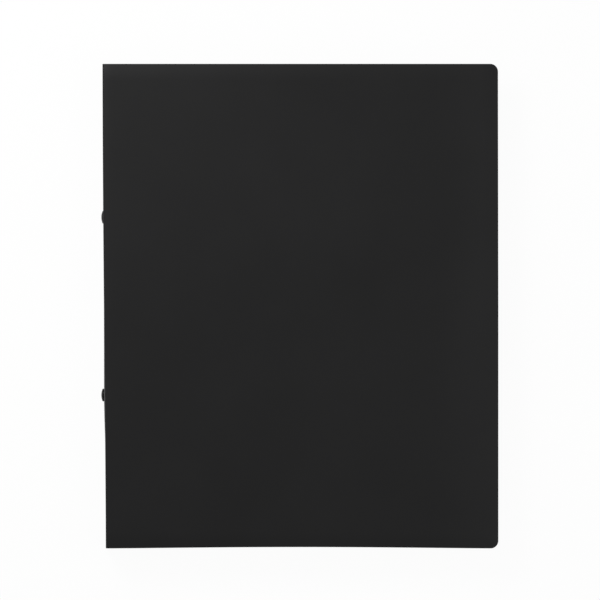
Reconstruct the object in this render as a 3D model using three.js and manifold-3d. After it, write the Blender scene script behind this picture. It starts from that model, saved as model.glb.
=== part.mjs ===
// A slim two-ring binder for A4 paper, lying closed on its back cover.
// Lengths are in millimetres. +X runs from the spine to the fore-edge, +Y to the head and +Z up through the front cover.
// The origin is on the base, under the middle of the box that holds the whole binder, rivet heads included.
// One creased sheet of black polypropylene makes the back cover, the spine and the front cover. A steel ring
// mechanism stands on the inside of the spine, held by two tubular rivets whose heads show outside.

import * as THREE from 'three';
import { mergeVertices, toCreasedNormals } from 'three/addons/utils/BufferGeometryUtils.js';
import Module from 'manifold-3d';

const wasm = await Module();
wasm.setup();

// Sheet
const coverHeight = 315;
const coverWidth = 256.6;
const sheetThickness = 1;
const foreCornerRadius = 5;

// Clearances
const clearance = 0.3;
const foldGap = 0.3;
const ringToCover = 1.6;
const ringToCrown = 0.5;
const bladeHeadroom = 0.4;

// Rings
const ringInnerDiameter = 15;
const wireDiameter = 2.4;
const legBendRadius = 2.5;
const legInset = 2.95;
const ringSpacing = 80;
const ringSwing = THREE.MathUtils.degToRad(6);
const nibLength = 1;
const nibTaper = 0.3;
const socketWall = 0.25;
const tenonDiameter = 1.6;

// Rivets
const ringToRivet = 18;
const rivetHeadDiameter = 8.3;
const rivetHeadHeight = 2;
const rivetRimHeight = 1.1;
const rivetShankDiameter = 3.2;
const rivetBoreDiameter = 2;
const rivetTailDiameter = 5.8;
const rivetTailHeight = 0.9;
const rivetTailChamfer = 0.4;

// Housing and carrier plates
const housingSheet = 0.5;
const housingHeight = 5;
const housingEndMargin = 10;
const housingEndRadius = 5;
const housingLipRadius = 0.8;
const housingLipWidth = 1.65;
const housingFlank = 2.35;
const cupTaper = 1.2;
const bladeThickness = 0.8;
const bladeEndInset = 2;

// How finely curves are cut into flats
const wireSides = 12;
const wireSteps = 30;
const roundSegments = 24;
const arcSegments = 6;
const past = 1;

// Sizes that follow from the ones above
const wireRadius = wireDiameter / 2;
const ringRadius = ringInnerDiameter / 2 + wireRadius;
const ringCentreHeight = housingHeight + ringToCrown + ringInnerDiameter / 2;
const spineWidth = 2 * (ringRadius + wireRadius + ringToCover + sheetThickness);
const totalWidth = coverWidth + rivetHeadHeight;
const spineFace = rivetHeadHeight - totalWidth / 2;
const foreEdge = totalWidth / 2;

const rivetSpacing = ringSpacing + 2 * ringToRivet;
const cupFloorRadius = rivetTailDiameter / 2 + clearance;
const cupMouthRadius = cupFloorRadius + housingSheet + cupTaper;
const housingHalfWidth = cupMouthRadius + housingFlank;
const housingLength = rivetSpacing + 2 * housingEndMargin;
const housingShoulder = housingSheet + clearance + bladeThickness + bladeHeadroom;
const archRise = housingHeight - housingShoulder;
const archRadius = (housingHalfWidth ** 2 + archRise ** 2) / (2 * archRise);
const archCentreHeight = housingHeight - archRadius;

const bladeEdge = housingHalfWidth - housingSheet - clearance;
const pivotAcross = bladeEdge - bladeThickness / 2;
const pivotHeight = housingSheet + clearance + bladeThickness / 2;
const bladeTilt = ringSwing / 2;
const legAcross = housingHalfWidth - legInset;
const legFromPivot = pivotAcross - legAcross;
const legFootHeight = pivotHeight - legFromPivot * Math.tan(bladeTilt) + bladeThickness / 2 + clearance;

const blackSheet = new THREE.MeshStandardMaterial({ color: 0x262626, roughness: 0.55, metalness: 0 });
const nickelPlate = new THREE.MeshStandardMaterial({ color: 0xc9c7c1, roughness: 0.25, metalness: 1 });
const blackLacquer = new THREE.MeshStandardMaterial({ color: 0x0b0b0b, roughness: 0.35, metalness: 0.2 });

// A closed geometry as a solid that can be joined and cut. Flats without area, as at a pole, are dropped.
function solidOf(geometry) {
  const bare = geometry.clone();
  bare.deleteAttribute('normal');
  bare.deleteAttribute('uv');
  const merged = mergeVertices(bare);
  const triVerts = [];
  for (let i = 0; i < merged.index.count; i += 3) {
    const corners = [0, 1, 2].map((k) => merged.index.getX(i + k));
    if (new Set(corners).size === 3) triVerts.push(...corners);
  }
  return new wasm.Manifold(
    new wasm.Mesh({
      numProp: 3,
      vertProperties: merged.attributes.position.array,
      triVerts: new Uint32Array(triVerts),
    }),
  );
}

// A solid as a geometry, with its normals broken at the edges.
function geometryOf(solid) {
  const { numProp, numVert, vertProperties, triVerts } = solid.getMesh();
  const positions = new Float32Array(numVert * 3);
  for (let i = 0; i < numVert; i++) {
    positions.set(vertProperties.subarray(i * numProp, i * numProp + 3), i * 3);
  }
  const geometry = new THREE.BufferGeometry();
  geometry.setAttribute('position', new THREE.BufferAttribute(positions, 3));
  geometry.setIndex(new THREE.BufferAttribute(triVerts, 1));
  return toCreasedNormals(geometry, Math.PI / 5);
}

function namedMesh(name, solid, material) {
  const mesh = new THREE.Mesh(geometryOf(solid), material);
  mesh.name = name;
  return mesh;
}

// A flat outline pushed up by a depth, from a given height.
function upright(shape, depth, height) {
  const geometry = new THREE.ExtrudeGeometry(shape, {
    depth,
    steps: 1,
    curveSegments: arcSegments,
    bevelEnabled: false,
  });
  return geometry.translate(0, 0, height);
}

// A section drawn across X and Z, run along Y for a length centred on the origin.
function alongY(section, length) {
  const geometry = new THREE.ExtrudeGeometry(section, {
    depth: length,
    steps: 1,
    curveSegments: arcSegments,
    bevelEnabled: false,
  });
  return geometry.rotateX(Math.PI / 2).translate(0, length / 2, 0);
}

// A round pin, hole or cone that stands along Z between two heights.
function uprightCone(lowRadius, highRadius, low, high) {
  const geometry = new THREE.CylinderGeometry(highRadius, lowRadius, high - low, roundSegments);
  return geometry.rotateX(Math.PI / 2).translate(0, 0, (low + high) / 2);
}

// A round pin or hole that lies along X between two places.
function lyingCone(nearRadius, farRadius, near, far) {
  const geometry = new THREE.CylinderGeometry(farRadius, nearRadius, far - near, roundSegments / 2);
  return geometry.rotateZ(-Math.PI / 2).translate((near + far) / 2, 0, 0);
}

function roundedRectangle(halfWidth, halfHeight, radius) {
  const x = halfWidth - radius;
  const y = halfHeight - radius;
  const shape = new THREE.Shape();
  shape.moveTo(-x, -halfHeight);
  shape.lineTo(x, -halfHeight);
  shape.absarc(x, -y, radius, -Math.PI / 2, 0);
  shape.lineTo(halfWidth, y);
  shape.absarc(x, y, radius, 0, Math.PI / 2);
  shape.lineTo(-x, halfHeight);
  shape.absarc(-x, y, radius, Math.PI / 2, Math.PI);
  shape.lineTo(-halfWidth, -y);
  shape.absarc(-x, -y, radius, Math.PI, 1.5 * Math.PI);
  return shape;
}

// One cover, lying at the height of the base. Its edge at the fold is rounded about the fold's axis, and the two
// corners of its fore-edge are cut round.
function coverSolid() {
  const half = sheetThickness / 2;
  const foldAxis = spineFace + half;

  const section = new THREE.Shape();
  section.moveTo(foldAxis, 0);
  section.lineTo(foreEdge, 0);
  section.lineTo(foreEdge, sheetThickness);
  section.lineTo(foldAxis, sheetThickness);
  section.absarc(foldAxis, half, half, Math.PI / 2, 1.5 * Math.PI);

  const outline = new THREE.Shape();
  outline.moveTo(spineFace - past, -coverHeight / 2);
  outline.lineTo(foreEdge - foreCornerRadius, -coverHeight / 2);
  outline.absarc(foreEdge - foreCornerRadius, foreCornerRadius - coverHeight / 2, foreCornerRadius, -Math.PI / 2, 0);
  outline.lineTo(foreEdge, coverHeight / 2 - foreCornerRadius);
  outline.absarc(foreEdge - foreCornerRadius, coverHeight / 2 - foreCornerRadius, foreCornerRadius, 0, Math.PI / 2);
  outline.lineTo(spineFace - past, coverHeight / 2);

  const slab = solidOf(alongY(section, coverHeight));
  return slab.intersect(solidOf(upright(outline, sheetThickness + 2 * past, -past)));
}

// From here on, the spine's own frame: X across the spine, Y along it and Z up from its inner face.

// The spine panel, between the two folds, with a hole for each rivet.
function spineSolid() {
  const halfWidth = spineWidth / 2 - sheetThickness - foldGap;
  const shape = new THREE.Shape();
  shape.moveTo(-halfWidth, -coverHeight / 2);
  shape.lineTo(halfWidth, -coverHeight / 2);
  shape.lineTo(halfWidth, coverHeight / 2);
  shape.lineTo(-halfWidth, coverHeight / 2);
  let panel = solidOf(upright(shape, sheetThickness, -sheetThickness));
  const holeRadius = rivetShankDiameter / 2 + clearance;
  for (const y of [-rivetSpacing / 2, rivetSpacing / 2]) {
    const hole = uprightCone(holeRadius, holeRadius, -sheetThickness - past, past).translate(0, y, 0);
    panel = panel.subtract(solidOf(hole));
  }
  return panel;
}

// A section under the housing's arch, drawn inside its outer face by an inset.
function archSection(inset) {
  const halfWidth = housingHalfWidth - inset;
  const radius = archRadius - inset;
  const corner = housingLipRadius - inset;
  const start = Math.acos(halfWidth / radius);
  const section = new THREE.Shape();
  section.moveTo(corner - halfWidth, inset);
  section.lineTo(halfWidth - corner, inset);
  section.absarc(halfWidth - corner, inset + corner, corner, -Math.PI / 2, 0);
  section.absarc(0, archCentreHeight, radius, start, Math.PI - start);
  section.absarc(corner - halfWidth, inset + corner, corner, Math.PI, 1.5 * Math.PI);
  return section;
}

// The housing: a pressed steel channel with an arched back and lips turned in under the carrier plates. A cup is
// pressed down to the spine round each rivet, and a slot lets each half ring's leg through and swing.
function housingSolid() {
  const plan = roundedRectangle(housingHalfWidth, housingLength / 2, housingEndRadius);
  const block = solidOf(alongY(archSection(0), housingLength));
  const ended = block.intersect(solidOf(upright(plan, housingHeight + 2 * past, -past)));

  const mouthWidth = 2 * (housingHalfWidth - housingLipWidth);
  const mouth = new THREE.BoxGeometry(mouthWidth, housingLength + 2 * past, housingSheet + 2 * past);
  mouth.translate(0, 0, housingSheet / 2);
  const run = solidOf(alongY(archSection(housingSheet), housingLength + 2 * past));
  let hollow = run.add(solidOf(mouth));

  const cupSlope = cupTaper / housingHeight;
  const cupTop = housingHeight + past;
  const cupOuter = cupFloorRadius + housingSheet;
  const holeRadius = rivetShankDiameter / 2 + clearance;
  const cuts = [];
  for (const y of [-rivetSpacing / 2, rivetSpacing / 2]) {
    const outer = uprightCone(cupOuter, cupOuter + cupSlope * cupTop, 0, cupTop).translate(0, y, 0);
    const innerTop = cupFloorRadius + cupSlope * (cupTop - housingSheet);
    const inner = uprightCone(cupFloorRadius, innerTop, housingSheet, cupTop).translate(0, y, 0);
    const hole = uprightCone(holeRadius, holeRadius, -past, housingSheet + past).translate(0, y, 0);
    hollow = hollow.subtract(solidOf(outer));
    cuts.push(inner, hole);
  }

  const slotRadius = wireRadius + clearance;
  const slotTravel = (housingHeight - pivotHeight) * Math.tan(ringSwing);
  const slotOutline = new THREE.Shape();
  slotOutline.absarc(slotTravel / 2, 0, slotRadius, -Math.PI / 2, Math.PI / 2);
  slotOutline.absarc(-slotTravel / 2, 0, slotRadius, Math.PI / 2, 1.5 * Math.PI);
  for (const side of [-1, 1]) {
    for (const y of [-ringSpacing / 2, ringSpacing / 2]) {
      const slot = upright(slotOutline, housingHeight, housingShoulder);
      cuts.push(slot.translate(side * (legAcross + slotTravel / 2), y, 0));
    }
  }
  return cuts.reduce((housing, cut) => housing.subtract(solidOf(cut)), ended.subtract(hollow));
}

// A carrier plate, lying flat with its pivot edge at the origin and its free edge towards -X. It is cut away round
// each rivet cup, and takes the foot of each half ring in a hole.
function bladeSolid() {
  const length = housingLength - 2 * bladeEndInset;
  const innerEdge = clearance / 2 - pivotAcross;
  const outerEdge = bladeEdge - pivotAcross;
  const blank = new THREE.BoxGeometry(outerEdge - innerEdge, length, bladeThickness);
  blank.translate((innerEdge + outerEdge) / 2, 0, 0);
  let blade = solidOf(blank);

  const notchRadius = cupMouthRadius + clearance;
  const holeRadius = tenonDiameter / 2 + clearance;
  for (const side of [-1, 1]) {
    const notch = uprightCone(notchRadius, notchRadius, -bladeThickness, bladeThickness);
    const hole = uprightCone(holeRadius, holeRadius, -bladeThickness, bladeThickness);
    blade = blade.subtract(solidOf(notch.translate(-pivotAcross, side * rivetSpacing / 2, 0)));
    blade = blade.subtract(solidOf(hole.translate(-legFromPivot, side * ringSpacing / 2, 0)));
  }
  return blade;
}

// A curve in the XZ plane that follows a flat path.
class StandingCurve extends THREE.Curve {
  constructor(path) {
    super();
    this.path = path;
  }

  getPoint(t, target = new THREE.Vector3()) {
    const point = this.path.getPoint(t);
    return target.set(point.x, 0, point.y);
  }
}

// The middle line of a half ring on the +X side: a straight leg through the housing, a bend outwards and then the
// circle up to the tip.
function halfRingPath() {
  const bendAcross = legAcross + legBendRadius;
  const reach = ringRadius + legBendRadius;
  const bendHeight = ringCentreHeight - Math.sqrt(reach ** 2 - bendAcross ** 2);
  const meeting = Math.atan2(bendHeight - ringCentreHeight, bendAcross);
  const tip = Math.PI / 2 - clearance / 2 / ringRadius;
  const path = new THREE.Path();
  path.moveTo(legAcross, legFootHeight);
  path.lineTo(legAcross, bendHeight);
  path.absarc(bendAcross, bendHeight, legBendRadius, Math.PI, Math.PI + meeting, true);
  path.absarc(0, ringCentreHeight, ringRadius, meeting, tip);
  return new StandingCurve(path);
}

// A half ring on the +X side, closed. Its foot is a tenon in the carrier plate. Its tip is either a nib that points
// across the middle, or the socket that takes the other half's nib.
function halfRingSolid(hasNib) {
  const section = new THREE.Shape();
  section.absarc(0, 0, wireRadius, 0, 2 * Math.PI);
  const wire = new THREE.ExtrudeGeometry(section, {
    extrudePath: halfRingPath(),
    steps: wireSteps,
    curveSegments: wireSides / 2,
    bevelEnabled: false,
  });

  const tenonRadius = tenonDiameter / 2;
  const tenonLow = legFootHeight - clearance - bladeThickness;
  const tenon = uprightCone(tenonRadius, tenonRadius, tenonLow, legFootHeight + clearance);
  const half = solidOf(wire).add(solidOf(tenon.translate(legAcross, 0, 0)));

  const face = clearance / 2;
  const tipHeight = ringCentreHeight + ringRadius;
  const socketRadius = wireRadius - socketWall;
  const nibRadius = socketRadius - clearance;
  if (hasNib) {
    const nib = lyingCone(nibRadius - nibTaper, nibRadius, -face - nibLength, face + clearance);
    return half.add(solidOf(nib.translate(0, 0, tipHeight)));
  }
  const socket = lyingCone(socketRadius, socketRadius - nibTaper, face - clearance, face + nibLength + clearance);
  return half.subtract(solidOf(socket.translate(0, 0, tipHeight)));
}

// A rivet: a domed head outside the spine, a shank through the spine and the cup, and a tail spread over the
// floor of the cup. A bore runs into it from the tail.
function rivetSolid() {
  const headRadius = rivetHeadDiameter / 2;
  const domeHeight = rivetHeadHeight - rivetRimHeight;
  const domeRadius = (headRadius ** 2 + domeHeight ** 2) / (2 * domeHeight);
  const headFace = -sheetThickness;
  const domeCentre = headFace - rivetHeadHeight + domeRadius;
  const domeAngle = Math.asin(headRadius / domeRadius);
  const tailRadius = rivetTailDiameter / 2;
  const tailTop = housingSheet + rivetTailHeight;
  const dome = new THREE.Path().absarc(0, domeCentre, domeRadius, -Math.PI / 2, domeAngle - Math.PI / 2);
  const profile = [
    ...dome.getPoints(arcSegments / 2),
    new THREE.Vector2(headRadius, headFace),
    new THREE.Vector2(rivetShankDiameter / 2, headFace),
    new THREE.Vector2(rivetShankDiameter / 2, housingSheet),
    new THREE.Vector2(tailRadius, housingSheet),
    new THREE.Vector2(tailRadius, tailTop - rivetTailChamfer),
    new THREE.Vector2(tailRadius - rivetTailChamfer, tailTop),
    new THREE.Vector2(rivetBoreDiameter / 2, tailTop),
    new THREE.Vector2(rivetBoreDiameter / 2, headFace),
    new THREE.Vector2(0, headFace),
  ];
  profile[0].x = 0;
  return solidOf(new THREE.LatheGeometry(profile, roundSegments).rotateX(Math.PI / 2));
}

const stations = [
  { name: 'upper', sign: 1 },
  { name: 'lower', sign: -1 },
];
const sides = [
  { name: 'back', sign: 1, hasNib: false },
  { name: 'front', sign: -1, hasNib: true },
];

// The carrier plate of one side with its two half rings, in the spine's frame with the rings closed.
function carrier(side) {
  const group = new THREE.Group();
  group.rotation.z = side.sign > 0 ? 0 : Math.PI;

  const blade = namedMesh(`carrier_plate_${side.name}`, bladeSolid(), nickelPlate);
  blade.position.set(pivotAcross, 0, pivotHeight);
  blade.rotation.y = -bladeTilt;
  group.add(blade);

  for (const station of stations) {
    const half = namedMesh(`half_ring_${station.name}_${side.name}`, halfRingSolid(side.hasNib), nickelPlate);
    half.position.y = side.sign * station.sign * ringSpacing / 2;
    group.add(half);
  }
  return group;
}

// The spine with all that it carries, stood up between the two covers.
function spineAssembly() {
  const group = new THREE.Group();
  group.position.set(spineFace + sheetThickness, 0, spineWidth / 2);
  group.rotation.y = Math.PI / 2;
  group.add(namedMesh('spine', spineSolid(), blackSheet));
  group.add(namedMesh('ring_housing', housingSolid(), nickelPlate));
  for (const side of sides) {
    group.add(carrier(side));
  }
  for (const station of stations) {
    const rivet = namedMesh(`rivet_${station.name}`, rivetSolid(), blackLacquer);
    rivet.position.y = station.sign * rivetSpacing / 2;
    group.add(rivet);
  }
  return group;
}

const binder = new THREE.Group();
binder.add(namedMesh('back_cover', coverSolid(), blackSheet));

const frontCover = namedMesh('front_cover', coverSolid(), blackSheet);
frontCover.position.z = spineWidth - sheetThickness;
binder.add(frontCover);

binder.add(spineAssembly());

export default binder;
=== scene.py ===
"""Dresses the slim two-ring binder: creased black sheet, nickel ring mechanism and black rivets.

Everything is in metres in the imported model's frame: +X from the spine to the fore-edge, +Y to the head and
+Z up through the front cover of the closed binder.
"""
from __future__ import annotations

import logging
import math
from dataclasses import dataclass, field
from enum import Enum
from typing import Callable, Iterable, Sequence

import bmesh
import bpy
from mathutils import Matrix, Vector

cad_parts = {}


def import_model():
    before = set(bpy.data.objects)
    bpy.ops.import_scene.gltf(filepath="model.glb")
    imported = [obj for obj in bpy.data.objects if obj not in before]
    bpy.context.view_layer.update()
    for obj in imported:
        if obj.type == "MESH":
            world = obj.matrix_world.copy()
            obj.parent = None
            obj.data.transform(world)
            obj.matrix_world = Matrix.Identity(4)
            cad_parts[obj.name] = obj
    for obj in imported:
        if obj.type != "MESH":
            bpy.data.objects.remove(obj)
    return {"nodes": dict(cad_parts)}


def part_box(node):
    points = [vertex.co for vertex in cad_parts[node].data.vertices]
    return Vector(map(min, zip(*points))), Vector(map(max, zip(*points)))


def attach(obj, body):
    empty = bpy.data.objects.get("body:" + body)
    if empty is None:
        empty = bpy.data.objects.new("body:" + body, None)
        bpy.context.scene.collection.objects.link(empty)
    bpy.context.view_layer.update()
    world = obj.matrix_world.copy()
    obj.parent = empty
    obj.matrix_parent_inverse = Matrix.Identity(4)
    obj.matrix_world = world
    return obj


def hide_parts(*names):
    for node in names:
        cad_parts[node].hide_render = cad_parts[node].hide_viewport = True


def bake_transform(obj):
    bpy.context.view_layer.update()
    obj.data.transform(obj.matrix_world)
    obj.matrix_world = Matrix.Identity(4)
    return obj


LOG = logging.getLogger("binder")
MM = 0.001
FRAME_PIXELS = 600
SHADER_TYPES = {"BSDF_PRINCIPLED", "BACKGROUND"}
AXES = ("X", "Y", "Z")


class Slot(Enum):
    """The material slots."""

    BLACK_SHEET = "black_sheet"
    NICKEL_PLATE = "nickel_plate"
    RIVET_BLACK = "rivet_black"


class Signal:
    """A node's output socket that takes part in arithmetic."""

    def __init__(self, recipe: "Recipe", socket: bpy.types.NodeSocket) -> None:
        """Wraps a socket.

        Args:
            recipe: The material's node tree.
            socket: The output socket.
        """
        self.recipe = recipe
        self.socket = socket

    def _math(self, operation: str, first: "Signal | float", second: "Signal | float") -> "Signal":
        """Adds one Math node and returns its result."""
        return self.recipe.node("ShaderNodeMath", {"operation": operation}, {0: first, 1: second}, 0)

    def __add__(self, other: "Signal | float") -> "Signal":
        """Sum."""
        return self._math("ADD", self, other)

    __radd__ = __add__

    def __mul__(self, other: "Signal | float") -> "Signal":
        """Product."""
        return self._math("MULTIPLY", self, other)

    __rmul__ = __mul__

    def __sub__(self, other: "Signal | float") -> "Signal":
        """Difference."""
        return self._math("SUBTRACT", self, other)

    def __rsub__(self, other: "Signal | float") -> "Signal":
        """Difference from a number."""
        return self._math("SUBTRACT", other, self)

    def capped(self, most: float) -> "Signal":
        """This value, or the most that it may be."""
        return self._math("MINIMUM", self, most)

    def power(self, exponent: float) -> "Signal":
        """This value raised to an exponent."""
        return self._math("POWER", self, exponent)


class Recipe:
    """The node tree of one material, or of the surroundings."""

    def __init__(self, owner: bpy.types.Material | bpy.types.World) -> None:
        """Starts a node tree that holds only its shader and its output.

        Args:
            owner: The new material or world.
        """
        owner.use_nodes = True
        self.owner = owner
        self.tree = owner.node_tree
        self.shader = next(node for node in self.tree.nodes if node.type in SHADER_TYPES)
        self.shader_output = self.shader.outputs[0]

    @classmethod
    def named(cls, name: str) -> "Recipe":
        """Starts a new material of a given name."""
        return cls(bpy.data.materials.new(name))

    def node(self, kind: str, settings: dict, inputs: dict, output: int | str) -> Signal:
        """Adds a node.

        Args:
            kind: The node's type.
            settings: The node's own settings, set before its sockets.
            inputs: A value or a signal for each socket that isn't left at its default.
            output: The output socket to return.

        Returns:
            The chosen output.
        """
        made = self.tree.nodes.new(kind)
        for key, value in settings.items():
            setattr(made, key, value)
        for key, value in inputs.items():
            self.feed(made.inputs[key], value)
        return Signal(self, made.outputs[output])

    def feed(self, socket: bpy.types.NodeSocket, value: "Signal | float | Sequence[float]") -> None:
        """Links a signal to a socket, or sets the socket's own value."""
        if isinstance(value, Signal):
            self.tree.links.new(value.socket, socket)
        else:
            socket.default_value = value

    def shade(self, **inputs: "Signal | float | Sequence[float]") -> None:
        """Feeds the shader's sockets, named with underscores for spaces."""
        for key, value in inputs.items():
            self.feed(self.shader.inputs[key.replace("_", " ")], value)

    def place(self, scale: Sequence[float]) -> Signal:
        """The piece's own coordinates, in features per metre along each axis."""
        where = self.node("ShaderNodeTexCoord", {}, {}, "Object")
        return self.node("ShaderNodeMapping", {}, {"Vector": where, "Scale": tuple(scale)}, 0)

    def ramp(self, axis: str, start: float, end: float) -> Signal:
        """A smooth rise from 0 to 1 along one axis of the piece, between two places in metres."""
        where = self.node("ShaderNodeTexCoord", {}, {}, "Object")
        along = self.node("ShaderNodeSeparateXYZ", {}, {0: where}, AXES.index(axis))
        inputs = {"Value": along, "From Min": start, "From Max": end}
        return self.node("ShaderNodeMapRange", {"interpolation_type": "SMOOTHSTEP"}, inputs, 0)

    def noise(self, scale: Sequence[float], detail: float = 2.0, roughness: float = 0.5) -> Signal:
        """A soft noise from 0 to 1 with its own scale along each axis."""
        inputs = {"Vector": self.place(scale), "Scale": 1.0, "Detail": detail, "Roughness": roughness}
        return self.node("ShaderNodeTexNoise", {}, inputs, 0)

    def cells(self, scale: Sequence[float], smoothness: float) -> Signal:
        """Rounded cells, lowest at each cell's middle."""
        inputs = {"Vector": self.place(scale), "Scale": 1.0, "Smoothness": smoothness}
        return self.node("ShaderNodeTexVoronoi", {"feature": "SMOOTH_F1"}, inputs, "Distance")

    def tint(self, share: Signal, low: Sequence[float], high: Sequence[float]) -> Signal:
        """A colour that runs from low to high as the share runs from 0 to 1."""
        inputs = {0: share, 6: (*low, 1.0), 7: (*high, 1.0)}
        return self.node("ShaderNodeMix", {"data_type": "RGBA"}, inputs, 2)

    def bump(self, height: Signal, depth: float, strength: float) -> Signal:
        """A normal from a height of a given depth in metres."""
        inputs = {"Height": height, "Distance": depth, "Strength": strength}
        return self.node("ShaderNodeBump", {}, inputs, 0)


def scaled(colour: Sequence[float], factor: float) -> tuple[float, ...]:
    """A colour made lighter or darker."""
    return tuple(channel * factor for channel in colour)


@dataclass(frozen=True)
class Finish:
    """What every finish has: a slot, a colour and a roughness."""

    slot: Slot
    colour: tuple[float, float, float]
    roughness: float

    def make(self) -> bpy.types.Material:
        """Builds the material.

        Returns:
            The new material.
        """
        raise NotImplementedError

    def dress(self, pieces: Iterable[bpy.types.Object]) -> None:
        """Gives pieces this finish.

        Args:
            pieces: The objects to dress.
        """
        material = self.make()
        for piece in pieces:
            piece.data.materials.clear()
            piece.data.materials.append(material)


@dataclass(frozen=True)
class GrainedSheet(Finish):
    """Calendered polypropylene sheet with a fine pressed grain, a faint handling haze and a painted highlight
    that lightens it towards the fore-edge.
    """

    # The next three fields paint a highlight into the colour: it lightens over a strip towards the fore-edge,
    # standing in for the lamp light that falls more on that side. The gain sets how much it lightens.
    fore_edge_light_from: float = 0.0
    fore_edge_light_to: float = 1.0
    fore_edge_light_gain: float = 0.28
    haze_gain: float = 0.5
    grain_gain: float = 0.12
    grain_pitch: float = 0.55 * MM
    grain_depth: float = 0.035 * MM
    tooth_pitch: float = 0.16 * MM
    haze_length: float = 70 * MM
    streak_squeeze: float = 9.0
    tooth_share: float = 0.25
    tone_reach: float = 0.5
    bump_strength: float = 0.55
    sheen_level: float = 0.11

    def make(self) -> bpy.types.Material:
        """Builds the material."""
        recipe = Recipe.named("black_grained_sheet")
        grain_scale = 1 / self.grain_pitch
        tooth_scale = 1 / self.tooth_pitch
        haze_scale = 1 / self.haze_length
        grain = recipe.cells((grain_scale,) * 3, 0.6)
        tooth = recipe.noise((tooth_scale,) * 3, 3.0, 0.6)
        haze = recipe.noise((haze_scale,) * 3, 3.0, 0.55)
        streak_scale = haze_scale * self.streak_squeeze
        streaks = recipe.noise((streak_scale, haze_scale * 1.2, streak_scale), 4.0, 0.65)
        # Painted highlight: rises from 0 to 1 towards the fore-edge and lightens the base colour there.
        fore_edge_light = recipe.ramp("X", self.fore_edge_light_from, self.fore_edge_light_to)
        height = grain * (1 - self.tooth_share) + tooth * self.tooth_share
        cloudy = (haze - 0.5) * self.haze_gain + (grain - 0.5) * self.grain_gain
        # The tone is the random haze and grain plus the painted highlight.
        tone = cloudy + fore_edge_light * self.fore_edge_light_gain + 0.5
        dark, pale = (scaled(self.colour, 1 + side * self.tone_reach) for side in (-1, 1))
        recipe.shade(
            Base_Color=recipe.tint(tone, dark, pale),
            Roughness=haze * 0.10 + streaks * 0.06 + (self.roughness - 0.08),
            Normal=recipe.bump(height, self.grain_depth, self.bump_strength),
            Specular_IOR_Level=self.sheen_level,
        )
        return recipe.owner


@dataclass(frozen=True)
class NickelPlate(Finish):
    """Bright nickel over drawn and pressed steel, with faint drawing marks and cloudiness."""

    mark_pitch: float = 0.12 * MM
    mark_run: float = 6 * MM
    mark_depth: float = 0.004 * MM
    cloud_length: float = 5 * MM

    def make(self) -> bpy.types.Material:
        """Builds the material."""
        recipe = Recipe.named("bright_nickel")
        mark_scale = 1 / self.mark_pitch
        cloud = recipe.noise((1 / self.cloud_length,) * 3, 3.0, 0.55)
        marks = recipe.noise((mark_scale, 1 / self.mark_run, mark_scale), 2.0, 0.5)
        recipe.shade(
            Base_Color=recipe.tint(cloud, scaled(self.colour, 0.9), scaled(self.colour, 1.06)),
            Metallic=1.0,
            Roughness=cloud * 0.12 + marks * 0.08 + (self.roughness - 0.1),
            Normal=recipe.bump(marks, self.mark_depth, 0.35),
        )
        return recipe.owner


@dataclass(frozen=True)
class BlackLacquer(Finish):
    """Stoved black lacquer on steel, with a slight orange peel and high spots worn lighter."""

    peel_pitch: float = 0.7 * MM
    peel_depth: float = 0.01 * MM
    gloss_level: float = 0.1

    def make(self) -> bpy.types.Material:
        """Builds the material."""
        recipe = Recipe.named("black_lacquer")
        peel = recipe.noise((1 / self.peel_pitch,) * 3, 2.0, 0.5)
        rub = recipe.noise((3 / self.peel_pitch,) * 3, 4.0, 0.7)
        recipe.shade(
            Base_Color=recipe.tint(rub.power(3.0), self.colour, scaled(self.colour, 1.6)),
            Roughness=rub * 0.12 + (self.roughness - 0.06),
            Normal=recipe.bump(peel, self.peel_depth, 0.4),
            Specular_IOR_Level=self.gloss_level,
        )
        return recipe.owner


def keep(shape: bmesh.types.BMesh, name: str, crease: float = 38.0) -> bpy.types.Object:
    """Turns a finished bmesh into an object, smooth but for its sharp edges.

    Args:
        shape: The bmesh, which is freed.
        name: The object's name.
        crease: The angle in degrees from which an edge stays sharp.

    Returns:
        The new object.
    """
    mesh = bpy.data.meshes.new(name)
    shape.to_mesh(mesh)
    shape.free()
    mesh.shade_smooth()
    mesh.set_sharp_from_angle(angle=math.radians(crease))
    made = bpy.data.objects.new(name, mesh)
    bpy.context.scene.collection.objects.link(made)
    return made


def bake(piece: bpy.types.Object) -> bmesh.types.BMesh:
    """Applies a piece's modifiers and takes the piece apart again.

    Args:
        piece: The object, which is removed.

    Returns:
        Its final mesh as a bmesh.
    """
    bpy.context.view_layer.update()
    graph = bpy.context.evaluated_depsgraph_get()
    shape = bmesh.new()
    shape.from_object(piece, graph)
    mesh = piece.data
    bpy.data.objects.remove(piece)
    bpy.data.meshes.remove(mesh)
    return shape


def clamp(share: float) -> float:
    """A share kept between 0 and 1."""
    return min(1.0, max(0.0, share))


def ease(share: float) -> float:
    """A smooth rise from 0 to 1."""
    share = clamp(share)
    return share * share * (3.0 - 2.0 * share)


@dataclass
class Frame:
    """The binder's driving places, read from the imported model."""

    nodes: dict[str, bpy.types.Object]
    left: float = field(init=False)
    right: float = field(init=False)
    head: float = field(init=False)
    depth: float = field(init=False)
    thickness: float = field(init=False)

    def __post_init__(self) -> None:
        """Reads the boxes of the covers and the spine."""
        cover_low, cover_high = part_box("front_cover")
        self.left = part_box("spine")[0].x
        self.right = cover_high.x
        self.head = cover_high.y
        self.depth = cover_high.z
        self.thickness = cover_high.z - cover_low.z

    @property
    def inside(self) -> float:
        """The X of the spine's inner face."""
        return self.left + self.thickness

    @property
    def middle(self) -> float:
        """The height of the middle of the spine."""
        return self.depth / 2


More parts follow.
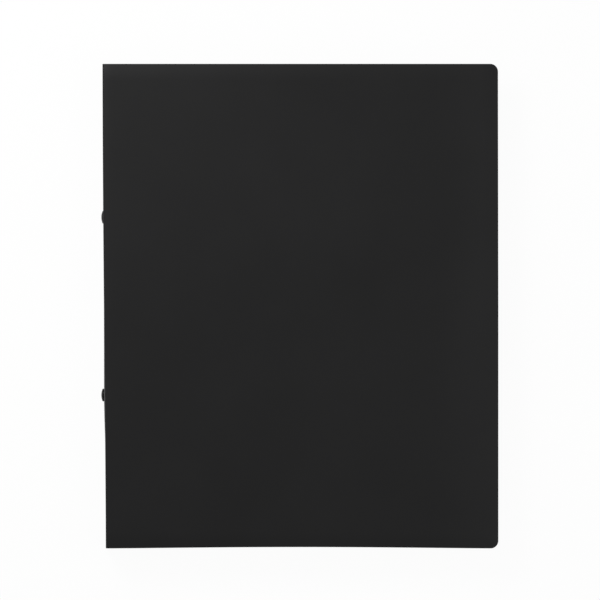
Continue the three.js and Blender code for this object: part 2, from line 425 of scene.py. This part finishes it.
@dataclass
class CreasedSheet:
    """The one creased sheet: two covers, two folds and the spine between them."""

    frame: Frame
    corner_radius: float = 5 * MM
    fold_radius: float = 1.5 * MM
    roll_length: float = 7 * MM
    roll_depth: float = 0.22 * MM
    seam: float = 4.5 * MM
    groove_reach: float = 1.7 * MM
    groove_depth: float = 0.42 * MM
    edge_round: float = 0.16 * MM
    head_lean: float = -0.8 * MM
    tail_lean: float = 1.47 * MM
    lean_power: float = 1.2
    lean_from: float = 16 * MM
    lean_to: float = 23 * MM
    lean_curl: int = 3
    lean_fade: float = 40 * MM
    tuck_from: float = 58 * MM
    tuck_to: float = 108 * MM
    back_tuck: float = 0.43 * MM
    tail_bow: float = 0.9 * MM
    bow_power: float = 1.3
    bow_fade: int = 6
    fore_lean: float = -0.25 * MM
    hole_radius: float = 1.75 * MM
    columns: int = 24
    rows: int = 30
    roll_steps: int = 5
    arc_steps: int = 8
    corner_steps: int = 10
    fold_bend: float = 2 * MM
    seam_slack: float = MM / 100

    def section(self) -> list[tuple[float, float]]:
        """The outer face across the front fold, as X and Z, from the cover's flat to the seam on the spine.

        Returns:
            The points in order. The first lies where the cover starts to roll over.
        """
        left, top, radius = self.frame.left, self.frame.depth, self.fold_radius
        points = []
        for step in range(self.roll_steps + 1):
            share = step / self.roll_steps
            x = left + self.roll_length + (radius - self.roll_length) * share
            points.append((x, top - self.roll_depth * share ** 2))
        for step in range(1, self.arc_steps + 1):
            angle = math.pi / 2 * (1 + step / self.arc_steps)
            x = left + radius + radius * math.cos(angle)
            points.append((x, top - self.roll_depth - radius + radius * math.sin(angle)))
        end = top - self.seam
        start = points[-1][1]
        for share in (0.25, 0.55, 1.0):
            points.append((left, start + (end - start) * share))
        return points

    def skin(self) -> bmesh.types.BMesh:
        """The outer face of the front cover, its fold and the strip of spine below it.

        Returns:
            An open face, pointing out.
        """
        frame, section = self.frame, self.section()
        start = section[0][0]
        near = MM / 10
        size = Matrix.Diagonal((frame.right - start, 2 * frame.head, 1, 1))
        centre = Matrix.Translation(((frame.right + start) / 2, 0, frame.depth))
        skin = bmesh.new()
        bmesh.ops.create_grid(
            skin, x_segments=self.columns, y_segments=self.rows, size=0.5, matrix=centre @ size
        )
        rim = [edge for edge in skin.edges if all(v.co.x < start + near for v in edge.verts)]
        for x, z in section[1:]:
            made = bmesh.ops.extrude_edge_only(skin, edges=rim)["geom"]
            moved = {item for item in made if isinstance(item, bmesh.types.BMVert)}
            for vert in moved:
                vert.co.x = x
                vert.co.z = z
            lines = [item for item in made if isinstance(item, bmesh.types.BMEdge)]
            rim = [line for line in lines if moved.issuperset(line.verts)]
        fore_edge = [v for v in skin.verts if v.co.x > frame.right - near]
        corners = [v for v in fore_edge if abs(v.co.y) > frame.head - near]
        bmesh.ops.bevel(
            skin,
            geom=corners,
            offset=self.corner_radius,
            offset_type="OFFSET",
            segments=self.corner_steps,
            profile=0.5,
            affect="VERTICES",
            material=-1,
        )
        self.face_out(skin, Vector((0, 0, 1)))
        return skin

    def face_out(self, skin: bmesh.types.BMesh, outwards: Vector) -> None:
        """Turns an open face so that the face farthest along a direction looks that way."""
        bmesh.ops.recalc_face_normals(skin, faces=skin.faces[:])
        last = max(skin.faces, key=lambda face: face.calc_center_median().dot(outwards))
        if last.normal.dot(outwards) < 0:
            bmesh.ops.reverse_faces(skin, faces=skin.faces[:])

    def thicken(self, skin: bmesh.types.BMesh, name: str) -> bmesh.types.BMesh:
        """Gives an outer face the sheet's thickness, inwards.

        Args:
            skin: The outer face.
            name: A name for the piece on the way.

        Returns:
            The closed sheet.
        """
        piece = keep(skin, name)
        wall = piece.modifiers.new("wall", "SOLIDIFY")
        wall.thickness = self.frame.thickness
        wall.offset = -1.0
        wall.use_even_offset = True
        return bake(piece)

    def press_groove(self, sheet: bmesh.types.BMesh) -> None:
        """Presses the hinge groove into the inner side of the front fold."""
        corner = Vector((self.frame.inside, 0, self.frame.depth - self.frame.thickness))
        outwards = Vector((-1, 0, 1)).normalized()
        skin_limit = self.frame.thickness * 0.55
        for vert in sheet.verts:
            offset = Vector((vert.co.x, 0, vert.co.z)) - corner
            away = offset.length
            outer = vert.co.x < self.frame.left + skin_limit or vert.co.z > self.frame.depth - skin_limit
            if away < self.groove_reach and not outer:
                press = (1 - (away / self.groove_reach) ** 2) ** 2
                vert.co += outwards * self.groove_depth * press

    def fold_shift(self, place: Vector) -> float:
        """How far the sheet has set along X at a place.

        Args:
            place: A place in the square form of the sheet.

        Returns:
            The shift, of the front fold all along and of the whole spine towards the tail.
        """
        frame = self.frame
        down = (frame.head - place.y) / (2 * frame.head)
        run = clamp(down) ** self.lean_power
        lean = self.head_lean + (self.tail_lean - self.head_lean) * (run + ease(run)) / 2
        tuck = ease((-place.y - self.tuck_from) / (self.tuck_to - self.tuck_from))
        base = self.back_tuck + (self.tail_lean - self.back_tuck) * place.z / frame.depth
        rise = clamp((place.z - self.lean_from) / (self.lean_to - self.lean_from))
        fade = 1.0 - ease((place.x - frame.left - self.roll_length) / self.lean_fade)
        return (tuck * base + (lean - tuck * self.tail_lean) * rise ** self.lean_curl) * fade

    def settle(self, sheet: bmesh.types.BMesh, is_front: bool) -> None:
        """Moves a sheet from its square form to the one that it has set to in use.

        Args:
            sheet: The closed sheet, in its place.
            is_front: Whether it is the front cover, whose tail edge bows and whose fore-edge leans.
        """
        frame = self.frame
        for vert in sheet.verts:
            place = vert.co.copy()
            vert.co.x += self.fold_shift(place)
            if is_front:
                along = clamp((place.x - frame.left) / (frame.right - frame.left))
                tail = clamp(-place.y / frame.head)
                vert.co.x += self.fore_lean * along ** 2 * clamp(place.y / frame.head)
                bow = math.sin(math.pi * along) ** self.bow_power
                vert.co.y += self.tail_bow * bow * tail ** self.bow_fade

    def round_edges(self, sheet: bmesh.types.BMesh, keeps: Callable[[Vector], bool]) -> None:
        """Rounds the die-cut edges a little.

        Args:
            sheet: The closed sheet.
            keeps: Says of a place whether its edge stays square, as at a seam.
        """
        cut = [edge for edge in sheet.edges if edge.calc_face_angle(0.0) > math.radians(60)]
        sharp = [edge for edge in cut if not all(keeps(v.co) for v in edge.verts)]
        bmesh.ops.bevel(
            sheet,
            geom=sharp,
            offset=self.edge_round,
            offset_type="OFFSET",
            segments=2,
            profile=0.5,
            affect="EDGES",
            material=-1,
            clamp_overlap=True,
        )

    def leaf(self, name: str, is_front: bool) -> bpy.types.Object:
        """One cover with its fold and the strip of spine next to it.

        Args:
            name: The piece's name.
            is_front: Whether it is the front cover or the back one.

        Returns:
            The piece, with no body yet.
        """
        frame = self.frame
        sheet = self.thicken(self.skin(), name)
        self.press_groove(sheet)
        seam_height = frame.depth - self.seam + self.seam_slack
        self.round_edges(sheet, lambda place: place.z < seam_height)
        if not is_front:
            flip = Matrix.Translation((0, 0, frame.depth)) @ Matrix.Diagonal((1, 1, -1, 1))
            bmesh.ops.transform(sheet, matrix=flip, verts=sheet.verts[:])
            bmesh.ops.reverse_faces(sheet, faces=sheet.faces[:])
        self.settle(sheet, is_front)
        return keep(sheet, name)

    def spine_panel(self) -> bpy.types.Object:
        """The flat of the spine between the two strips, with a hole for each rivet.

        Returns:
            The piece, with no body yet.
        """
        frame = self.frame
        name = "spine_sheet"
        low = self.seam + self.seam_slack
        high = frame.depth - low
        upright = Matrix.Rotation(-math.pi / 2, 4, "Y")
        size = Matrix.Diagonal((frame.depth - 2 * self.seam, 2 * frame.head, 1, 1))
        centre = Matrix.Translation((frame.left, 0, frame.middle))
        skin = bmesh.new()
        bmesh.ops.create_grid(
            skin, x_segments=8, y_segments=self.rows, size=0.5, matrix=centre @ upright @ size
        )
        self.face_out(skin, Vector((-1, 0, 0)))
        sheet = self.thicken(skin, name)
        self.round_edges(sheet, lambda place: place.z < low or place.z > high)
        panel = keep(sheet, name)
        cutters = [self.cutter(panel, node, upright) for node in ("rivet_upper", "rivet_lower")]
        drilled = bake(panel)
        for cutter in cutters:
            bpy.data.objects.remove(cutter)
        self.settle(drilled, False)
        return keep(drilled, name)

    def cutter(self, panel: bpy.types.Object, node: str, upright: Matrix) -> bpy.types.Object:
        """Sets a round cutter in the spine where a rivet passes.

        Args:
            panel: The spine's sheet, which takes the cut as a modifier.
            node: The rivet's node.
            upright: The turn from Z to the rivet's axis.

        Returns:
            The cutter, to be removed once the cut is applied.
        """
        low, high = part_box(node)
        place = Matrix.Translation((self.frame.left, (low.y + high.y) / 2, (low.z + high.z) / 2))
        shape = bmesh.new()
        bmesh.ops.create_cone(
            shape,
            cap_ends=True,
            segments=40,
            radius1=self.hole_radius,
            radius2=self.hole_radius,
            depth=4 * self.frame.thickness,
            matrix=place @ upright,
        )
        cutter = keep(shape, node + "_cutter")
        cut = panel.modifiers.new(node, "BOOLEAN")
        cut.operation = "DIFFERENCE"
        cut.solver = "EXACT"
        cut.object = cutter
        return cutter

    def build(self) -> list[bpy.types.Object]:
        """Builds the whole sheet and rides the spine's panel on the spine.

        Returns:
            The pieces.
        """
        frame, bend = self.frame, self.fold_bend
        front = self.leaf("front_cover_sheet", True)
        frame.depth - bend
        frame.left + bend
        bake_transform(front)
        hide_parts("front_cover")
        back = self.leaf("back_cover_sheet", False)
        frame.left + bend
        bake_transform(back)
        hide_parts("back_cover")
        panel = self.spine_panel()
        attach(panel, "spine")
        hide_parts("spine")
        return [front, back, panel]


@dataclass
class HalfRing:
    """One half of a wire ring, from its foot on the carrier plate to its tip."""

    frame: Frame
    node: str
    body: str
    toward_back: bool
    has_nib: bool
    leg_across: float = 4.3 * MM
    bend_radius: float = 2.5 * MM
    foot_height: float = 1.81 * MM
    tip_gap: float = 0.3 * MM
    socket_radius: float = 0.95 * MM
    socket_depth: float = 1.3 * MM
    nib_radius: float = 0.65 * MM
    nib_length: float = 1.0 * MM
    sides: int = 28

    def build(self) -> bpy.types.Object:
        """Builds the half ring and rides it on its carrier.

        Returns:
            The piece.
        """
        low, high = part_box(self.node)
        frame = self.frame
        wire = (high.y - low.y) / 2
        rise = high.x - frame.inside
        outer = frame.middle - low.z if self.toward_back else high.z - frame.middle
        centre_height = rise - outer
        ring = outer - wire
        place = Matrix(
            (
                (0, 0, 1, frame.inside),
                (0, 1, 0, (low.y + high.y) / 2),
                (-1, 0, 0, frame.middle),
                (0, 0, 0, 1),
            )
        )
        reach = ring + self.bend_radius
        bend_across = self.leg_across + self.bend_radius
        bend_height = centre_height - math.sqrt(reach ** 2 - bend_across ** 2)
        meeting = math.atan2(bend_height - centre_height, bend_across)
        tip = math.pi / 2 - self.tip_gap / 2 / ring

        rod = bmesh.new()
        foot = Matrix.Translation((self.leg_across, 0, self.foot_height))
        bmesh.ops.create_circle(rod, cap_ends=True, segments=self.sides, radius=wire, matrix=foot)
        face = rod.faces[:]
        made = bmesh.ops.extrude_face_region(rod, geom=face)["geom"]
        ends = [item for item in made if isinstance(item, bmesh.types.BMVert)]
        bmesh.ops.translate(rod, verts=ends, vec=(0, 0, bend_height - self.foot_height))
        last = [item for item in made if isinstance(item, bmesh.types.BMFace)]
        bmesh.ops.delete(rod, geom=[f for f in face if f.is_valid], context="FACES_ONLY")
        turns = (
            (Vector((bend_across, 0, bend_height)), -meeting, 8),
            (Vector((0, 0, centre_height)), meeting - tip, 48),
        )
        for pivot, angle, steps in turns:
            made = bmesh.ops.spin(
                rod,
                geom=last + [e for f in last for e in f.edges] + [v for f in last for v in f.verts],
                cent=pivot,
                axis=(0, 1, 0),
                angle=angle,
                steps=steps,
                use_duplicate=False,
            )["geom_last"]
            last = [item for item in made if isinstance(item, bmesh.types.BMFace)]
        self.shape_tip(rod, last[0])
        bmesh.ops.holes_fill(rod, edges=[e for e in rod.edges if e.is_boundary])
        bmesh.ops.remove_doubles(rod, verts=rod.verts[:], dist=MM / 1000)
        if not self.toward_back:
            bmesh.ops.rotate(rod, verts=rod.verts[:], cent=(0, 0, 0), matrix=Matrix.Rotation(math.pi, 3, "Z"))
        bmesh.ops.transform(rod, matrix=place, verts=rod.verts[:])
        bmesh.ops.recalc_face_normals(rod, faces=rod.faces[:])
        piece = keep(rod, self.node + "_wire")
        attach(piece, self.body)
        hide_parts(self.node)
        return piece

    def shape_tip(self, rod: bmesh.types.BMesh, face: bmesh.types.BMFace) -> None:
        """Turns the end face into a nib or a socket.

        Args:
            rod: The wire.
            face: Its end face, which looks across the middle.
        """
        normal = Vector((-1, 0, 0))
        radius = (face.verts[0].co - face.calc_center_median()).length
        if self.has_nib:
            shares = ((1.0, 0.0), (1.0, 0.25), (0.72, 0.85), (0.4, 1.0))
            steps = [(self.nib_radius * share, along) for share, along in shares]
            travel = self.nib_length
        else:
            shares = ((1.0, 0.0), (0.9, -0.2), (0.68, -1.0))
            steps = [(self.socket_radius * share, along) for share, along in shares]
            travel = self.socket_depth
        reached = 0.0
        bmesh.ops.inset_region(rod, faces=[face], thickness=radius - steps[0][0], use_even_offset=True)
        current = steps[0][0]
        for next_radius, share in steps[1:]:
            made = bmesh.ops.extrude_discrete_faces(rod, faces=[face])["faces"]
            face = made[0]
            bmesh.ops.translate(rod, verts=face.verts[:], vec=normal * travel * (share - reached))
            middle = face.calc_center_median()
            bmesh.ops.scale(
                rod, vec=(next_radius / current,) * 3, verts=face.verts[:], space=Matrix.Translation(-middle)
            )
            current, reached = next_radius, share


@dataclass
class Rivet:
    """A tubular rivet: domed head outside, tail spread over the floor of its cup."""

    frame: Frame
    node: str
    rim: float = 1.1 * MM
    shoulder: float = 0.35 * MM
    shank_radius: float = 1.6 * MM
    bore_radius: float = 1.0 * MM
    tail_radius: float = 2.9 * MM
    tail_height: float = 0.9 * MM
    blunt: float = 0.12 * MM
    flare: float = 0.35 * MM
    dome_steps: int = 12
    turn_steps: int = 6
    roll_steps: int = 8
    steps: int = 64

    def build(self) -> bpy.types.Object:
        """Turns the rivet's profile and rides it on the spine.

        Returns:
            The piece.
        """
        low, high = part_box(self.node)
        frame = self.frame
        centre = Vector((0, (low.y + high.y) / 2, (low.z + high.z) / 2))
        head = (high.y - low.y) / 2
        rise = frame.left - low.x - self.rim
        dome = (head ** 2 + rise ** 2) / (2 * rise)
        shoulder = self.shoulder
        reach = math.asin((head - shoulder) / (dome - shoulder))
        turn_height = low.x + dome - math.cos(reach) * (dome - shoulder)
        tail_top = high.x
        tail_floor = tail_top - self.tail_height
        profile = []
        for step in range(self.dome_steps):
            angle = reach * step / self.dome_steps
            profile.append((low.x + dome - dome * math.cos(angle), dome * math.sin(angle)))
        for step in range(self.turn_steps + 1):
            angle = reach + (math.pi / 2 - reach) * step / self.turn_steps
            out = head - shoulder + shoulder * math.sin(angle)
            profile.append((turn_height - shoulder * math.cos(angle), out))
        profile += [
            (frame.left - self.blunt, head),
            (frame.left, head - self.blunt),
            (frame.left, self.shank_radius),
            (tail_floor, self.shank_radius),
            (tail_floor, self.tail_radius - 0.15 * MM),
        ]
        roll = self.tail_height / 2
        for step in range(1, self.roll_steps + 1):
            angle = -math.pi / 2 + math.pi * step / self.roll_steps
            out = self.tail_radius - roll + roll * math.cos(angle)
            profile.append((tail_floor + roll + roll * math.sin(angle), out))
        profile += [
            (tail_top - 0.05 * MM, self.bore_radius + self.flare),
            (tail_top - self.flare, self.bore_radius),
            (frame.left, self.bore_radius * 0.9),
            (frame.left - 0.3 * MM, 0.0),
        ]
        turned = bmesh.new()
        verts = [turned.verts.new((x, centre.y, centre.z + radius)) for x, radius in profile]
        edges = [turned.edges.new(pair) for pair in zip(verts, verts[1:])]
        bmesh.ops.spin(
            turned,
            geom=verts + edges,
            cent=centre,
            axis=(1, 0, 0),
            angle=2 * math.pi,
            steps=self.steps,
            use_merge=True,
            use_duplicate=False,
        )
        bmesh.ops.remove_doubles(turned, verts=turned.verts[:], dist=MM / 1000)
        bmesh.ops.recalc_face_normals(turned, faces=turned.faces[:])
        piece = keep(turned, self.node + "_turned", 32.0)
        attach(piece, "spine")
        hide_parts(self.node)
        return piece


@dataclass
class Pressing:
    """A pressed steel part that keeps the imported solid's form, with its sheet edges softened."""

    frame: Frame
    node: str
    body: str
    edge_round: float = 0.1 * MM

    def build(self) -> bpy.types.Object:
        """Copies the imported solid, merges it and softens its edges.

        Returns:
            The piece.
        """
        shape = bmesh.new()
        shape.from_mesh(self.frame.nodes[self.node].data)
        bmesh.ops.remove_doubles(shape, verts=shape.verts[:], dist=MM / 1000)
        bmesh.ops.dissolve_limit(
            shape, angle_limit=math.radians(0.5), verts=shape.verts[:], edges=shape.edges[:]
        )
        piece = keep(shape, self.node + "_pressing", 32.0)
        rounding = piece.modifiers.new("edges", "BEVEL")
        rounding.width = self.edge_round
        rounding.segments = 2
        rounding.limit_method = "ANGLE"
        rounding.angle_limit = math.radians(50)
        rounding.harden_normals = True
        self.finish(piece)
        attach(piece, self.body)
        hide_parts(self.node)
        return piece

    def finish(self, piece: bpy.types.Object) -> None:
        """Leaves a flat pressing as it is."""


@dataclass
class ArchedPressing(Pressing):
    """The ring housing, whose arched back is shaded as one curve across its flats and round its holes."""

    shoulder: float = 2.0 * MM
    slack: float = 0.05 * MM
    most_turn: float = math.radians(6)

    def finish(self, piece: bpy.types.Object) -> None:
        """Applies the softened edges and turns the back's normals to the axis of its curve.

        Args:
            piece: The housing.
        """
        low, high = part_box(self.node)
        rise = high.x - low.x - self.shoulder
        half = (high.z - low.z) / 2
        radius = (half ** 2 + rise ** 2) / (2 * rise)
        axis = Vector((high.x - radius, 0, (low.z + high.z) / 2))
        across = Vector((1, 0, 1))
        bpy.context.view_layer.update()
        graph = bpy.context.evaluated_depsgraph_get()
        mesh = bpy.data.meshes.new_from_object(
            piece.evaluated_get(graph), preserve_all_data_layers=True, depsgraph=graph
        )
        rough, piece.data = piece.data, mesh
        piece.modifiers.clear()
        bpy.data.meshes.remove(rough)
        normals = [corner.vector.copy() for corner in mesh.corner_normals]
        for face in mesh.polygons:
            out = (face.center - axis) * across
            if out.length > radius - self.slack and face.normal.angle(out) < self.most_turn:
                for corner in face.loop_indices:
                    place = mesh.vertices[mesh.loops[corner].vertex_index].co
                    normals[corner] = ((place - axis) * across).normalized()
        mesh.normals_split_custom_set(normals)


@dataclass
class RingMechanism:
    """The two-ring mechanism on the inside of the spine, with the rivets that hold it."""

    frame: Frame

    def build(self) -> tuple[list[bpy.types.Object], list[bpy.types.Object]]:
        """Builds every metal piece.

        Returns:
            The nickel pieces, and the lacquered ones.
        """
        nickel = [ArchedPressing(self.frame, "ring_housing", "spine").build()]
        for side, toward_back in (("front", False), ("back", True)):
            body = side + "_carrier"
            nickel.append(Pressing(self.frame, "carrier_plate_" + side, body).build())
            for station in ("upper", "lower"):
                node = f"half_ring_{station}_{side}"
                nickel.append(HalfRing(self.frame, node, body, toward_back, not toward_back).build())
        lacquered = [Rivet(self.frame, "rivet_" + station).build() for station in ("upper", "lower")]
        return nickel, lacquered


@dataclass
class Lamp:
    """A soft rectangular lamp that points at the binder."""

    name: str
    place: tuple[float, float, float]
    size: float
    watts: float
    tint: tuple[float, float, float] = (1.0, 1.0, 1.0)

    def build(self, target: Vector) -> bpy.types.Object:
        """Hangs the lamp.

        Args:
            target: The point that it faces.

        Returns:
            The lamp.
        """
        data = bpy.data.lights.new(self.name, "AREA")
        data.shape = "SQUARE"
        data.size = self.size
        data.energy = self.watts
        data.color = self.tint
        made = bpy.data.objects.new(self.name, data)
        made.location = self.place
        made.rotation_mode = "QUATERNION"
        made.rotation_quaternion = (target - Vector(self.place)).to_track_quat("-Z", "Y")
        bpy.context.scene.collection.objects.link(made)
        return made


@dataclass
class Studio:
    """The white floor, the plain light and the camera."""

    frame: Frame
    pixel_size: float = 0.65 * MM
    fore_edge_column: float = 498.35
    middle_row: float = 306.15
    camera_rise: float = 3.2
    sensor: float = 36.0
    floor_size: float = 12.0
    floor_drop: float = 0.1 * MM
    floor_tone: float = 0.8
    camera_white: float = 0.955
    sky_level: float = 0.45

    def camera(self) -> None:
        """Looks straight down at the front cover, with the head at the top of the picture."""
        half = FRAME_PIXELS / 2
        span = FRAME_PIXELS * self.pixel_size
        data = bpy.data.cameras.new("camera")
        data.type = "PERSP"
        data.sensor_width = self.sensor
        data.lens = self.sensor * self.camera_rise / span
        data.clip_start = 0.1
        data.clip_end = 50
        made = bpy.data.objects.new("camera", data)
        across = self.frame.right - (self.fore_edge_column - half) * self.pixel_size
        up = (self.middle_row - half) * self.pixel_size
        made.location = (across, up, self.frame.depth + self.camera_rise)
        bpy.context.scene.collection.objects.link(made)
        bpy.context.scene.camera = made

    def seen_share(self, recipe: Recipe) -> Signal:
        """One for what the camera sees, straight, in a gloss or in a glass, and zero for other rays."""
        rays = ("Is Camera Ray", "Is Glossy Ray", "Is Transmission Ray")
        camera, glossy, glass = (recipe.node("ShaderNodeLightPath", {}, {}, ray) for ray in rays)
        return (camera + glossy + glass).capped(1.0)

    def floor(self) -> None:
        """Lays the floor, which looks white and still takes the binder's shadow."""
        shape = bmesh.new()
        low = Matrix.Translation((0, 0, -self.floor_drop))
        bmesh.ops.create_grid(shape, x_segments=1, y_segments=1, size=self.floor_size / 2, matrix=low)
        made = keep(shape, "floor")
        recipe = Recipe.named("white_floor")
        recipe.shade(Base_Color=(self.floor_tone,) * 3 + (1.0,), Roughness=0.9, Specular_IOR_Level=0.0)
        glow = recipe.node("ShaderNodeEmission", {}, {"Color": (1, 1, 1, 1), "Strength": 1.0}, 0)
        plain = Signal(recipe, recipe.shader_output)
        share = self.seen_share(recipe) * self.camera_white
        mixed = recipe.node("ShaderNodeMixShader", {}, {0: share, 1: plain, 2: glow}, 0)
        recipe.feed(recipe.tree.nodes["Material Output"].inputs["Surface"], mixed)
        made.data.materials.append(recipe.owner)

    def sky(self) -> None:
        """Makes the surroundings white to look at and plain to be lit by."""
        world = bpy.data.worlds.new("studio")
        bpy.context.scene.world = world
        recipe = Recipe(world)
        strength = self.seen_share(recipe) * (1 - self.sky_level) + self.sky_level
        recipe.shade(Color=(1, 1, 1, 1), Strength=strength)

    def build(self) -> None:
        """Sets the whole studio up."""
        scene = bpy.context.scene
        scene.view_settings.view_transform = "Standard"
        self.sky()
        self.floor()
        target = Vector((0, 0, 0))
        Lamp("key_lamp", (-0.38, 0.45, 0.62), 0.35, 4.5).build(target)
        Lamp("fill_lamp", (0.8, -0.15, 0.9), 0.8, 2.0).build(target)
        self.camera()


def main() -> None:
    """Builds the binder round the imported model."""
    logging.basicConfig(level=logging.INFO, format="%(name)s: %(message)s")
    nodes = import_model()["nodes"]
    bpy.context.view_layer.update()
    frame = Frame(nodes)
    sheet = CreasedSheet(frame).build()
    nickel, lacquered = RingMechanism(frame).build()
    # The painted highlight lightens the sheet's colour from 45 mm to 8 mm short of the fore-edge, and is
    # strongest from there to the edge.
    fore_edge_light = {"fore_edge_light_from": frame.right - 45 * MM, "fore_edge_light_to": frame.right - 8 * MM}
    GrainedSheet(Slot.BLACK_SHEET, (0.0085, 0.0085, 0.0087), 0.5, **fore_edge_light).dress(sheet)
    NickelPlate(Slot.NICKEL_PLATE, (0.62, 0.6, 0.56), 0.24).dress(nickel)
    BlackLacquer(Slot.RIVET_BLACK, (0.003, 0.003, 0.003), 0.34).dress(lacquered)
    for piece in [*sheet, *nickel, *lacquered]:
        LOG.info("%s: %d faces", piece.name, len(piece.data.polygons))
    Studio(frame).build()


if __name__ == "__main__":
    main()
